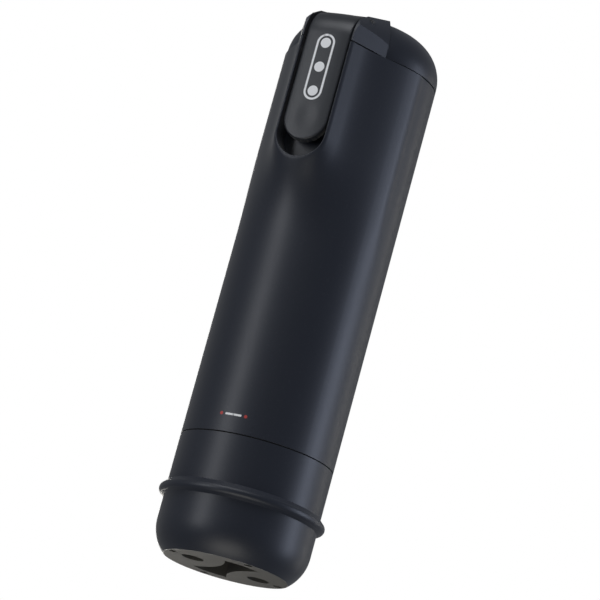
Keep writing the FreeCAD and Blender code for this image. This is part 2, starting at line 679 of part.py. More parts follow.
def catch_notch(name, clearance, half):
    """The hook's mouth: room for the catch pin on its way in along an arc about the pivot."""
    radius = S.catch_radius + clearance
    out = catch_out - pivot_out
    down = pivot_up - catch_up
    arm = (out * out + down * down).root()
    ring = minus(name + "_ring",
                 rod_across(name + "_outer", arm + radius, half, pivot_y, pivot_up),
                 rod_across(name + "_inner", arm - radius, half, pivot_y, pivot_up))
    side = block(name + "_side", (-half, catch_y, pivot_up - arm - radius), (
        half, 0, catch_up + radius))
    return joined(name, rod_across(name + "_seat", radius, half, catch_y, catch_up),
                  common(name + "_mouth", ring, side))


def make_lever():
    blank = lever_side("lever_blank", lever_half, as_size(0))
    front_view = joined("lever_front_view", block(
        "lever_front_box", (-lever_half, -FAR, lever_end), (
            lever_half, 0, lid_top)), cylinder(
        "lever_front_end", lever_half, FAR, z=lever_end, turn="front"))
    shaped = common("lever_shaped", blank, front_view)
    undercut = prism("lever_undercut", [
        (lever_back - 1, lever_tip - 1),
        (lever_back + S.undercut, lever_tip - 1),
        (lever_back + S.undercut, lever_tip + 8), (lever_back, undercut_top),
        (lever_back - 1, undercut_top)], SIDE, FAR, centred=True)
    core_half = lever_half - S.lever_wall
    core_front = housing_front - S.lever_inset - S.lever_wall
    core_low = undercut_top + 3
    core_side = lever_side("core_side", core_half, S.lever_wall)
    core_trim = block("core_trim", (-core_half, -FAR, core_low), (
        core_half, 0, lid_top))
    core = common("core_shape", core_side, core_trim)
    room_side = lever_side("room_side", core_half, S.lever_wall)
    room = common("room_shape", room_side, block(
        "room_trim", (-core_half, -FAR, core_low), (core_half, 0, lid_top)))
    bore_radius = S.lever_pin_radius + S.pin_clearance
    node("lever_shell", minus(
        "lever_shell", shaped, undercut, room,
        catch_notch("shell_notch", S.catch_clearance * 2, lever_half),
        rod_across("shell_bore", bore_radius, lever_half, pivot_y, pivot_up),
        lever_screw_shapes("shell_taps", core_front, S.small_shank, core_front + 2)))
    node("lever_hook", minus(
        "lever_hook", core, catch_notch("hook_notch", S.catch_clearance, core_half),
        rod_across("hook_bore", bore_radius, core_half, pivot_y, pivot_up),
        lever_screw_shapes("hook_holes", lever_back, S.small_shank, core_front),
        lever_screw_shapes("hook_sinks", lever_back, S.small_head, lever_back + 2)))
    heads = lever_screw_shapes("lever_heads", lever_back, S.small_head, lever_back + 2)
    shanks = lever_screw_shapes("lever_shanks", lever_back, S.small_shank, core_front + 2)
    node("lever_screws", joined("lever_screws", heads, shanks))


def lever_screw_shapes(name, start, radius, end):
    """Two cylinders along -Y, one above the other, at the lever screws' places."""
    span = catch_up - undercut_top
    levels = (undercut_top + span * 0.25, undercut_top + span * 0.65)
    return joined(name, *[cylinder("%s_%d" % (name, i), radius, as_size(end) - start,
                                   y=-as_size(start), z=level, turn="front")
                          for i, level in enumerate(levels)])


# ---- pump handle ----

def grip_shape(name, extra, height, low):
    """The hourglass of the finger grip, wider by extra all round."""
    reach = S.grip_reach + extra
    half = S.grip_half + extra
    side = S.grip_side - extra
    away = S.grip_side + S.grip_waist
    diagonal = FreeCAD.Rotation(FreeCAD.Vector(0, 0, 1), 135)
    disc = cylinder(name + "_disc", reach, height, z=low)
    bar = doc.addObject("Part::Box", name + "_bar")
    bind(bar, Length=reach * 2, Width=half * 2, Height=height)
    # The bar's corner, turned so that the bar is centred on the axis along the diagonal.
    share = math.sqrt(0.5)
    place(bar, reach * share + half * share, half * share - reach * share, low, diagonal)
    waists = [cylinder("%s_waist_%d" % (name, i), side, height, away * share * sign,
                       away * share * sign, low) for i, sign in enumerate((1, -1))]
    return minus(name, common(name + "_ends", disc, bar), *waists)


def dock_places():
    return [(S.dock_circle * a, S.dock_circle * b) for a, b in around(2, 45)]


def base_screw_places():
    return [(screw_circle * a, screw_circle * b) for a, b in around(4, 45)]


def make_handle():
    ledge_in = screw_circle - S.ledge
    ledge_top = S.plate_thickness + S.ledge
    wall_low = S.base_round_top + 1
    lip_out = flange_radius - 1
    shell = turned("base_blank", [
        (plate_radius, 0), (base_edge, 0), (S.tube_radius, S.base_round_top, S.base_round),
        (S.tube_radius, S.flange_low), (lip_out - 0.8, S.flange_low + 0.8),
        (lip_out, S.flange_high - 2.2, S.flange_round), (S.tube_radius, S.flange_high),
        (S.tube_radius, base_top), (base_bore, base_top), (base_bore, wall_low),
        (plate_radius + 1, ledge_top), (ledge_in, ledge_top), (ledge_in, S.plate_thickness),
        (plate_radius, S.plate_thickness)])
    bosses = holes("base_bosses", base_screw_places(), S.screw_shank + S.boss_wall,
                   ledge_top, ledge_top + S.boss_height)
    node("base_shell", minus("base_shell", joined("base_with_bosses", shell, bosses), holes(
        "base_taps", base_screw_places(), S.screw_shank, S.plate_thickness, ledge_top + S.screw_depth)))
    disc = cylinder("plate_disc", plate_radius, S.plate_thickness)
    wells = joined(
        "plate_wells", grip_shape("grip_well", S.well_wall, well_top, as_size(0)),
        holes("dock_wells", dock_places(), S.dock_radius + S.well_wall, 0, well_top),
        cylinder("rod_boss", S.rod_radius + S.well_wall, well_top))
    sinks = holes("plate_sinks", base_screw_places(), S.screw_head, 0, S.screw_sink)
    shank_holes = holes("plate_holes", base_screw_places(), S.screw_shank, S.screw_sink,
                        S.plate_thickness)
    node("base_plate", minus(
        "base_plate", joined("plate_solid", disc, wells), sinks, shank_holes,
        grip_shape("grip_recess", as_size(0), S.well_depth, as_size(0)),
        holes("docks", dock_places(), S.dock_radius, 0, S.well_depth),
        cylinder("rod_screw_hole", S.screw_shank, well_top)))
    node("base_screws", screws("base_screws", base_screw_places(), S.screw_sink * 0.4,
                               S.screw_head - 0.15, S.screw_sink * 0.6, S.screw_shank,
                               ledge_top + S.screw_depth))
    rod = cylinder("rod_bar", S.rod_radius, piston_top + 1 - well_top, z=well_top)
    node("piston_rod", minus("piston_rod", rod, cylinder(
        "rod_tap", S.screw_shank, S.rod_screw_depth, z=well_top)))
    node("rod_screw", screws("rod_screw", [(0, 0)], S.well_depth - S.rod_head_height,
                             S.screw_head, S.rod_head_height,
                             S.screw_shank, well_top + S.rod_screw_depth))
    groove_low = piston_low + S.piston_height * 0.3
    groove_high = piston_low + S.piston_height * 0.7
    groove = S.pump_bore * 0.75
    piston_radius = S.pump_bore - S.piston_clearance
    node("piston", turned("piston", [
        (S.rod_radius, piston_low), (piston_radius, piston_low), (piston_radius, groove_low),
        (groove, groove_low), (groove, groove_high), (piston_radius, groove_high),
        (piston_radius, piston_top), (S.rod_radius, piston_top)]))
    node("piston_seal", turned("piston_seal", [
        (groove, groove_low), (S.pump_bore - S.seal_clearance, groove_low),
        (S.pump_bore - S.seal_clearance, groove_high), (groove, groove_high)]))
    clips = [cylinder("clip_%d_disc" % i, S.rod_radius + S.clip_width, S.clip_thickness, z=level)
             for i, level in enumerate((piston_low - S.clip_thickness, piston_top))]
    bore = cylinder("clip_bore", S.rod_radius, piston_top + 2 - piston_low + 2,
                    z=piston_low - 2)
    node("piston_clips", minus("piston_clips", joined("clip_discs", *clips), bore))


node("outer_tube", make_outer_tube())
make_chamber()
make_pump()
make_catch()
make_lid()
make_lever()
make_handle()
doc.recompute()

# ---- checks, then one file for each sub-part ----

for obj in doc.Objects:
    if "Invalid" in obj.State or "Error" in obj.State:
        raise RuntimeError("%s failed: %s" % (obj.Name, obj.State))
for name, obj in NODES.items():
    shape = obj.Shape
    if shape.isNull() or not shape.isValid() or not shape.Solids:
        raise RuntimeError(name + " has no valid solid")

os.makedirs("parts", exist_ok=True)
for name, obj in NODES.items():
    obj.Shape.exportStep(os.path.join("parts", name + ".step"))
    print("%-18s solids %d volume %9.1f" % (name, len(obj.Shape.Solids), obj.Shape.Volume))
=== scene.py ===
"""Looks of a hand-held canister for tennis balls, with a hinged lid and a latch lever."""
import json
import math

import bmesh
import bpy
import numpy as np
from bpy.props import FloatProperty, FloatVectorProperty, PointerProperty
from mathutils import Matrix, Vector


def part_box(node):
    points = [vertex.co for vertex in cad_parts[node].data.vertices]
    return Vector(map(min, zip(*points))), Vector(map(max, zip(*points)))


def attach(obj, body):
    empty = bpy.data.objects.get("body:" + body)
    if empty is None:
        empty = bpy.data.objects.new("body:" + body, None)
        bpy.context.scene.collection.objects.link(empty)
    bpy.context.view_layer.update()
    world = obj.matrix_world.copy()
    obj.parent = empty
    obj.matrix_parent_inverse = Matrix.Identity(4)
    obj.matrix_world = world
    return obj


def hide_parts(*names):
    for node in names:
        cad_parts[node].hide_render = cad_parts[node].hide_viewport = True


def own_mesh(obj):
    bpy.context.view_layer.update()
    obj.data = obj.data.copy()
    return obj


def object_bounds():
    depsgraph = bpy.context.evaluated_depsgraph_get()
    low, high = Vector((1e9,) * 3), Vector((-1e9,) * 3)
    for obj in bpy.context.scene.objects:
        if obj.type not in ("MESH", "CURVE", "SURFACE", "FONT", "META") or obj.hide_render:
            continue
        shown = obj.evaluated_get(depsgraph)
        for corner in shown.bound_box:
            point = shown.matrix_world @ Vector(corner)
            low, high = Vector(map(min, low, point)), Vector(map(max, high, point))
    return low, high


bl_info = {
    "name": "Ball canister",
    "version": (1, 0, 0),
    "blender": (4, 5, 0),
    "location": "View3D > Sidebar > Canister",
    "description": "Builds the visible pieces and finishes of a pressurised ball canister",
    "category": "Add Mesh",
}

MM = 0.001
MERGE = 1e-7  # points closer than this are joined
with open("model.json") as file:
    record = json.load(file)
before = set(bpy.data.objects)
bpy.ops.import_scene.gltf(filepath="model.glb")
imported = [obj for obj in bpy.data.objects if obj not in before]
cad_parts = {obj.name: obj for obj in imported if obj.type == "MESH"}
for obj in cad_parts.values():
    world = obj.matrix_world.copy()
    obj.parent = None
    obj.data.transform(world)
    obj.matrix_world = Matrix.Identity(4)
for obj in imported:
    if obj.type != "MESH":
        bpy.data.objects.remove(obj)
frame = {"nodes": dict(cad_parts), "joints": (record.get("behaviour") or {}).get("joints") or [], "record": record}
CAD_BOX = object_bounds()
NODES = frame["nodes"]
JOINTS = {joint["name"]: joint for joint in frame["joints"]}


# ---- sizes and colours that a user may change ----

def length(name, description, default):
    return FloatProperty(name=name, description=description, default=default,
                         subtype="DISTANCE", unit="LENGTH", precision=5)


def colour(name, description, default):
    return FloatVectorProperty(name=name, description=description, default=default,
                               subtype="COLOR", size=3, min=0.0, max=1.0)


class CanisterSizes(bpy.types.PropertyGroup):
    lever_shoulder: length("Shoulder", "Radius of the lever's bend over the lid", 16.6 * MM)
    lever_bend_drop: length("Bend drop", "How far the bend starts below the pivot", 9.7 * MM)
    lever_edge: length("Edge rounding", "Radius along the lever's long edges", 0.9 * MM)
    lever_crown: length("Crown", "How far the lever's face is domed", 0.8 * MM)
    dimple_depth: length("Dimple depth", "Depth of the thumb dimple", 0.3 * MM)
    dimple_rise: length("Dimple place", "Height of the dimple's centre above the tip", 13.5 * MM)
    mark_length: length("Mark length", "Length of the mark on the lever", 38.0 * MM)
    mark_drop: length("Mark drop", "How far the mark's middle lies below the pivot", 29.4 * MM)
    mark_width: length("Mark width", "Width of the mark on the lever", 10.4 * MM)
    mark_line: length("Mark line", "Width of the mark's outline", 1.15 * MM)
    print_depth: length("Print depth", "Thickness of a printed mark", 0.06 * MM)
    housing_rise: length("Housing rise", "How far the latch housing stands off the tube",
                         12.7 * MM)
    rim_width: length("Rim width", "Width of the housing's flat rim beside the slot",
                      0.9 * MM)
    slot_gap: length("Slot gap", "Gap between the lever and the slot's sides", 1.4 * MM)
    slot_drop: length("Slot drop", "How far the slot reaches below the lever's tip",
                      10.0 * MM)
    slot_depth: length("Slot depth", "Depth of the slot behind the housing's face",
                       11.2 * MM)
    chin_slope: FloatProperty(name="Chin slope", default=1.84, min=0.5,
                              description="How far the hood drops for each length inwards")
    chin_round: length("Chin rounding", "Softness of the chin's edges", 6.0 * MM)
    crease_round: length("Crease rounding", "Softness where the housing meets the tube",
                         2.2 * MM)
    rim_bead: length("Rim bead", "Radius of the rounded rim round the slot", 0.45 * MM)
    wire: length("Spring wire", "Diameter of the valve springs' wire", 0.6 * MM)


class CanisterColours(bpy.types.PropertyGroup):
    shell: colour("Shell", "Soft-touch coat of the tube, lid and base", (0.0085, 0.0120, 0.0225))
    lever: colour("Lever", "Soft-touch coat of the lever", (0.0135, 0.0160, 0.0215))
    plate: colour("Base plate", "Moulded plate under the base", (0.045, 0.043, 0.038))
    nylon: colour("Nylon", "Inner moulded pieces", (0.012, 0.013, 0.017))
    print_white: colour("White print", "Printed marks", (0.78, 0.79, 0.81))
    print_red: colour("Red print", "The two printed dots", (0.42, 0.035, 0.03))


def sizes():
    return bpy.context.scene.canister_sizes


def colours():
    return bpy.context.scene.canister_colours


# ---- shared effects, as node groups ----

def add_node(tree, kind, x, y, **values):
    made = tree.nodes.new(kind)
    made.location = (x, y)
    for name, value in values.items():
        if name in made.inputs:
            made.inputs[name].default_value = value
        else:
            setattr(made, name, value)
    return made


def node_group(name, inputs, outputs):
    """An empty shader group with named sockets: inputs as (name, type, default)."""
    group = bpy.data.node_groups.new(name, "ShaderNodeTree")
    for label, kind, default in inputs:
        socket = group.interface.new_socket(label, in_out="INPUT", socket_type=kind)
        if default is not None:
            socket.default_value = default
    for label, kind in outputs:
        group.interface.new_socket(label, in_out="OUTPUT", socket_type=kind)
    return (group, group.nodes.new("NodeGroupInput"), group.nodes.new("NodeGroupOutput"))


def build_fine_grain():
    """A moulded or sprayed surface: fine bumps, slow gloss changes and a little dust."""
    group, start, end = node_group("Fine grain", [
        ("Colour", "NodeSocketColor", (0.5, 0.5, 0.5, 1)),
        ("Scale", "NodeSocketFloat", 2500.0), ("Bump", "NodeSocketFloat", 0.1),
        ("Gloss", "NodeSocketFloat", 0.45), ("Gloss spread", "NodeSocketFloat", 0.06),
        ("Dust", "NodeSocketFloat", 0.04)],
        [("Colour", "NodeSocketColor"), ("Roughness", "NodeSocketFloat"),
         ("Normal", "NodeSocketVector")])
    link = group.links.new
    place = add_node(group, "ShaderNodeTexCoord", -900, 0)
    fine = add_node(group, "ShaderNodeTexNoise", -650, -250, Detail=3.0, Roughness=0.6)
    link(place.outputs["Object"], fine.inputs["Vector"])
    link(start.outputs["Scale"], fine.inputs["Scale"])
    bump = add_node(group, "ShaderNodeBump", -300, -300, Distance=0.0001)
    link(start.outputs["Bump"], bump.inputs["Strength"])
    link(fine.outputs["Fac"], bump.inputs["Height"])
    slow = add_node(group, "ShaderNodeTexNoise", -650, 50, Scale=38.0, Detail=4.0,
                    Roughness=0.55)
    link(place.outputs["Object"], slow.inputs["Vector"])
    centred = add_node(group, "ShaderNodeMath", -430, 0, operation="SUBTRACT")
    centred.inputs[1].default_value = 0.5
    link(slow.outputs["Fac"], centred.inputs[0])
    spread = add_node(group, "ShaderNodeMath", -260, 0, operation="MULTIPLY_ADD")
    link(centred.outputs[0], spread.inputs[0])
    link(start.outputs["Gloss spread"], spread.inputs[1])
    link(start.outputs["Gloss"], spread.inputs[2])
    specks = add_node(group, "ShaderNodeTexNoise", -650, 350, Scale=900.0, Detail=2.0)
    link(place.outputs["Object"], specks.inputs["Vector"])
    ramp = add_node(group, "ShaderNodeValToRGB", -430, 350)
    ramp.color_ramp.elements[0].position = 0.60
    ramp.color_ramp.elements[1].position = 0.74
    link(specks.outputs["Fac"], ramp.inputs["Fac"])
    amount = add_node(group, "ShaderNodeMath", -130, 330, operation="MULTIPLY")
    link(ramp.outputs["Color"], amount.inputs[0])
    link(start.outputs["Dust"], amount.inputs[1])
    mixed = add_node(group, "ShaderNodeMix", 60, 250, data_type="RGBA")
    mixed.inputs["B"].default_value = (0.55, 0.55, 0.55, 1)
    link(amount.outputs[0], mixed.inputs["Factor"])
    link(start.outputs["Colour"], mixed.inputs["A"])
    link(mixed.outputs["Result"], end.inputs["Colour"])
    link(spread.outputs[0], end.inputs["Roughness"])
    link(bump.outputs["Normal"], end.inputs["Normal"])
    return group


def build_turned_lines():
    """Fine rings left by a lathe, around an axis parallel to Z."""
    group, start, end = node_group("Turned lines", [
        ("Scale", "NodeSocketFloat", 900.0), ("Bump", "NodeSocketFloat", 0.15),
        ("Gloss", "NodeSocketFloat", 0.3)],
        [("Roughness", "NodeSocketFloat"), ("Normal", "NodeSocketVector")])
    link = group.links.new
    place = add_node(group, "ShaderNodeTexCoord", -800, 0)
    wave = add_node(group, "ShaderNodeTexWave", -550, -100, wave_type="BANDS",
                    bands_direction="Z", Distortion=1.5, Detail=2.0)
    link(place.outputs["Object"], wave.inputs["Vector"])
    link(start.outputs["Scale"], wave.inputs["Scale"])
    bump = add_node(group, "ShaderNodeBump", -250, -200, Distance=0.0001)
    link(start.outputs["Bump"], bump.inputs["Strength"])
    link(wave.outputs["Fac"], bump.inputs["Height"])
    gloss = add_node(group, "ShaderNodeMath", -250, 50, operation="MULTIPLY_ADD")
    gloss.inputs[1].default_value = 0.12
    link(wave.outputs["Fac"], gloss.inputs[0])
    link(start.outputs["Gloss"], gloss.inputs[2])
    link(gloss.outputs[0], end.inputs["Roughness"])
    link(bump.outputs["Normal"], end.inputs["Normal"])
    return group


# ---- finishes ----

def blank_material(name):
    """A new material, its node tree and its shader."""
    material = bpy.data.materials.new(name)
    material.use_nodes = True
    shader = material.node_tree.nodes["Principled BSDF"]
    return material, material.node_tree, shader


def grained(name, tint, scale, bump, gloss, spread=0.06, dust=0.03, **shader_values):
    """A coated, moulded or rubbery finish with fine grain."""
    tree, shader = blank_material(name)[1:]
    effect = add_node(tree, "ShaderNodeGroup", -300, 200)
    effect.node_tree = bpy.data.node_groups["Fine grain"]
    effect.inputs["Colour"].default_value = (*tint, 1)
    for label, value in (("Scale", scale), ("Bump", bump), ("Gloss", gloss),
                         ("Gloss spread", spread), ("Dust", dust)):
        effect.inputs[label].default_value = value
    for source, target in (("Colour", "Base Color"), ("Roughness", "Roughness"),
                           ("Normal", "Normal")):
        tree.links.new(effect.outputs[source], shader.inputs[target])
    for label, value in shader_values.items():
        shader.inputs[label.replace("_", " ")].default_value = value


def turned_metal(name, tint, scale, bump, gloss):
    """A bare metal with the fine rings of a lathe."""
    tree, shader = blank_material(name)[1:]
    effect = add_node(tree, "ShaderNodeGroup", -300, 200)
    effect.node_tree = bpy.data.node_groups["Turned lines"]
    for label, value in (("Scale", scale), ("Bump", bump), ("Gloss", gloss)):
        effect.inputs[label].default_value = value
    shader.inputs["Base Color"].default_value = (*tint, 1)
    shader.inputs["Metallic"].default_value = 1.0
    tree.links.new(effect.outputs["Roughness"], shader.inputs["Roughness"])
    tree.links.new(effect.outputs["Normal"], shader.inputs["Normal"])


def build_finishes():
    """Makes one material for each slot of the record, and the two prints."""
    tint = colours()
    grained("Soft navy", tint.shell, 2600.0, 0.10, 0.43, 0.05, 0.010,
            Sheen_Weight=0.12, Sheen_Roughness=0.45)
    grained("Lever grey", tint.lever, 3000.0, 0.12, 0.40, 0.05, 0.012,
            Sheen_Weight=0.10, Sheen_Roughness=0.45)
    grained("Plate grey", tint.plate, 1400.0, 0.35, 0.62, 0.08, 0.05)
    grained("Black nylon", tint.nylon, 1200.0, 0.25, 0.55)
    grained("Seal rubber", (0.012, 0.012, 0.012), 1800.0, 0.2, 0.75)
    turned_metal("Liner alloy", (0.62, 0.63, 0.65), 700.0, 0.08, 0.30)
    turned_metal("Screw steel", (0.42, 0.42, 0.43), 1500.0, 0.2, 0.32)
    grained("Hook steel", (0.40, 0.40, 0.41), 1600.0, 0.2, 0.35, 0.1, 0.0, Metallic=1.0)
    grained("Spring steel", (0.55, 0.55, 0.56), 1600.0, 0.1, 0.25, 0.1, 0.0, Metallic=1.0)
    turned_metal("Brass", (0.70, 0.50, 0.22), 1500.0, 0.15, 0.28)
    grained("White print", tint.print_white, 2200.0, 0.10, 0.50, 0.05, 0.0)
    grained("Red print", tint.print_red, 2200.0, 0.10, 0.50, 0.05, 0.0)


def finish(name):
    return bpy.data.materials[FINISH_NAMES[name]]


FINISH_NAMES = {
    "soft_navy": "Soft navy", "lever_grey": "Lever grey", "plate_grey": "Plate grey",
    "nylon": "Black nylon", "seal_rubber": "Seal rubber", "liner_alloy": "Liner alloy",
    "screw_steel": "Screw steel", "hook_steel": "Hook steel",
    "spring_steel": "Spring steel", "brass": "Brass", "white_print": "White print",
    "red_print": "Red print",
}
# Screws in the dark recesses get the black nylon finish in place of steel: painted shade of their recesses.
SHADE_PAINTED_SCREWS = ("base_screws", "catch_pin_screws", "rod_screw")


# ---- meshes ----

def piece(name, bm, body, slot, material=None, angle=35.0):
    """Turns a bmesh into a finished piece: merged, outward, smooth and riding on a body."""
    bmesh.ops.remove_doubles(bm, verts=bm.verts, dist=MERGE)
    bmesh.ops.recalc_face_normals(bm, faces=bm.faces)
    mesh = bpy.data.meshes.new(name)
    bm.to_mesh(mesh)
    bm.free()
    mesh.shade_smooth()
    mesh.set_sharp_from_angle(angle=math.radians(angle))
    obj = bpy.data.objects.new(name, mesh)
    bpy.context.scene.collection.objects.link(obj)
    mesh.materials.append(finish(material or slot))
    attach(obj, body)
    return obj


def merged_copy(node):
    """A bmesh of a CAD node with its loose triangles joined."""
    bm = bmesh.new()
    bm.from_mesh(NODES[node].data)
    bmesh.ops.remove_doubles(bm, verts=bm.verts, dist=MERGE * 10)
    return bm


class LeverFace:
    """The lever's outer surface: its side outline swept across a rounded, domed section."""
    TIP_ROWS, STRAIGHT_ROWS, BEND_ROWS, CREST_ROWS = 14, 34, 18, 4
    CREST_SLOPE = 0.3  # how far the crest rises for each length towards the lid
    INNER_SHARE = 0.4  # the block's inner side between the pivot and the front
    INNER_SET_BACK = 4.0 * MM
    CREST_REACH = 14.0 * MM  # how far the crest runs behind the pivot
    DIMPLE_WIDTH, DIMPLE_HEIGHT = 0.58, 0.72  # shares of half the lever's width

    def __init__(self):
        low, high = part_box("lever_shell")
        pivot = Vector(JOINTS["lever_pivot"]["pos_m"])
        size = sizes()
        self.half = high.x
        self.front = -low.y
        self.round_up = low.z + self.half
        self.pivot_out = -pivot.y
        self.pivot_up = pivot.z
        self.shoulder = size.lever_shoulder
        self.bend_up = pivot.z - size.lever_bend_drop
        self.edge = size.lever_edge
        self.crown = size.lever_crown
        self.dimple_depth = size.dimple_depth
        self.dimple_up = low.z + size.dimple_rise

    def half_width(self, up):
        if up >= self.round_up:
            return self.half
        return math.sqrt(max(self.half ** 2 - (self.round_up - up) ** 2, 0.0))

    def drop(self, x, up):
        """How far the face lies behind the outline at x and height up."""
        if up < self.round_up:
            rim = self.half - math.hypot(x, self.round_up - up)
        else:
            rim = self.half - abs(x)
        inside = max(self.edge - max(rim, 0.0), 0.0)
        rounded = self.edge - math.sqrt(self.edge ** 2 - inside ** 2)
        domed = self.crown * abs(x / self.half) ** 3
        off = math.hypot(x / (self.DIMPLE_WIDTH * self.half),
                         (up - self.dimple_up) / (self.DIMPLE_HEIGHT * self.half))
        dimple = self.dimple_depth * (1 - off * off) ** 2 if off < 1 else 0.0
        return rounded + domed + dimple

    def outline(self):
        """Stations from the tip to behind the crest: (point, normal, inner point)."""
        stations = []
        inner = (self.pivot_out + self.INNER_SHARE * (self.front - self.pivot_out)
                 - self.INNER_SET_BACK)
        back = self.pivot_out - self.CREST_REACH
        ahead = Vector((1, 0))
        straight = self.bend_up - self.round_up
        ups = [self.round_up - self.half * math.cos(math.pi / 2 * step / self.TIP_ROWS)
               for step in range(self.TIP_ROWS + 1)]
        ups += [self.round_up + straight * step / self.STRAIGHT_ROWS
                for step in range(1, self.STRAIGHT_ROWS + 1)]
        for up in ups:
            stations.append((Vector((self.front, up)), ahead, Vector((inner, up))))
        upper_rows = self.BEND_ROWS + self.CREST_ROWS
        seats = [Vector((inner + (back - inner) * step / upper_rows, self.bend_up))
                 for step in range(1, upper_rows + 1)]
        centre = Vector((self.front - self.shoulder, self.bend_up))
        turn = math.atan2(1, self.CREST_SLOPE)
        for step in range(1, self.BEND_ROWS + 1):
            angle = turn * step / self.BEND_ROWS
            normal = Vector((math.cos(angle), math.sin(angle)))
            stations.append((centre + normal * self.shoulder, normal, seats[step - 1]))
        crest = stations[-1][0]
        along = Vector((-normal.y, normal.x))
        reach = (crest.x - back) / -along.x
        for step in range(1, self.CREST_ROWS + 1):
            stations.append((crest + along * reach * step / self.CREST_ROWS, normal,
                             seats[self.BEND_ROWS + step - 1]))
        return stations

    def on_face(self, x, up, lift=0.0):
        """The point of the straight part of the face at x and height up."""
        return Vector((x, -(self.front - self.drop(x, up) + lift), up))


ENVELOPE_COLUMNS = 36
ENVELOPE_WIDTH = 0.996  # the envelope is this share of the lever's width
ENVELOPE_SET_BACK = 0.03 * MM  # and its face lies this far behind the lever's


def lever_envelope(face):
    """A closed block whose outer side is the lever's rounded and domed face."""
    stations = face.outline()
    below_bend = face.TIP_ROWS + 1 + face.STRAIGHT_ROWS
    bm = bmesh.new()
    made = bmesh.ops.create_grid(bm, x_segments=ENVELOPE_COLUMNS + 2,
                                 y_segments=len(stations) - 1, size=1.0)["verts"]
    made.sort(key=lambda v: (round(v.co.y, 5), v.co.x))
    width = ENVELOPE_COLUMNS + 3
    for index, vert in enumerate(made):
        row, column = divmod(index, width)
        point, normal, inner = stations[row]
        up = point.y if row < below_bend else face.bend_up
        half = face.half_width(up) * ENVELOPE_WIDTH
        if column in (0, width - 1):
            side = -1 if column == 0 else 1
            vert.co = (side * half, -inner.x, inner.y)
            continue
        share = math.sin((column - 1) / ENVELOPE_COLUMNS * math.pi - math.pi / 2)
        x = share * half
        seat = point - normal * (face.drop(x, up) + ENVELOPE_SET_BACK)
        vert.co = (x, -seat.x, seat.y)
    bm.verts.ensure_lookup_table()
    for row in range(len(stations) - 1):
        first, second = row * width, (row + 1) * width
        bm.faces.new((made[first], made[first + width - 1],
                      made[second + width - 1], made[second]))
    last = (len(stations) - 1) * width
    bm.faces.new(made[last:last + width])
    bmesh.ops.remove_doubles(bm, verts=bm.verts, dist=MERGE)
    bmesh.ops.dissolve_degenerate(bm, edges=bm.edges, dist=MERGE)
    bmesh.ops.recalc_face_normals(bm, faces=bm.faces)
    return bm


def boolean(bm, other, operation):
    """The bmesh of a solid after a boolean with another solid."""
    objects = []
    for name, source in (("cut_base", bm), ("cut_tool", other)):
        mesh = bpy.data.meshes.new(name)
        source.to_mesh(mesh)
        source.free()
        obj = bpy.data.objects.new(name, mesh)
        bpy.context.scene.collection.objects.link(obj)
        objects.append(obj)
    modifier = objects[0].modifiers.new("cut", "BOOLEAN")
    modifier.object = objects[1]
    modifier.operation = operation
    modifier.solver = "EXACT"
    graph = bpy.context.evaluated_depsgraph_get()
    result = bmesh.new()
    result.from_object(objects[0], graph)
    for obj in objects:
        mesh = obj.data
        bpy.data.objects.remove(obj)
        bpy.data.meshes.remove(mesh)
    return result


# ---- one operator for each piece or group of pieces ----

class CANISTER_OT_finishes(bpy.types.Operator):
    """Builds the finishes and gives each CAD piece its own, but screws in dark recesses get black nylon as painted
    shade
    """
    bl_idname = "canister.finishes"
    bl_label = "Finishes"

    def execute(self, context):
        build_fine_grain()
        build_turned_lines()
        build_finishes()
        slots = {part["node"]: part["material_slot"]
                 for part in frame["record"]["subparts"]}
        for name, obj in NODES.items():
            obj.data.materials.clear()
            # Painted shade: screws in dark recesses take black nylon in place of their steel.
            painted_shade = name in SHADE_PAINTED_SCREWS
            obj.data.materials.append(finish("nylon" if painted_shade else slots[name]))
        return {"FINISHED"}


def soft_max(a, b, width):
    """The larger of two distances, blended over a width."""
    near = np.maximum(width - np.abs(a - b), 0) / width
    return np.maximum(a, b) + near * near * width / 4


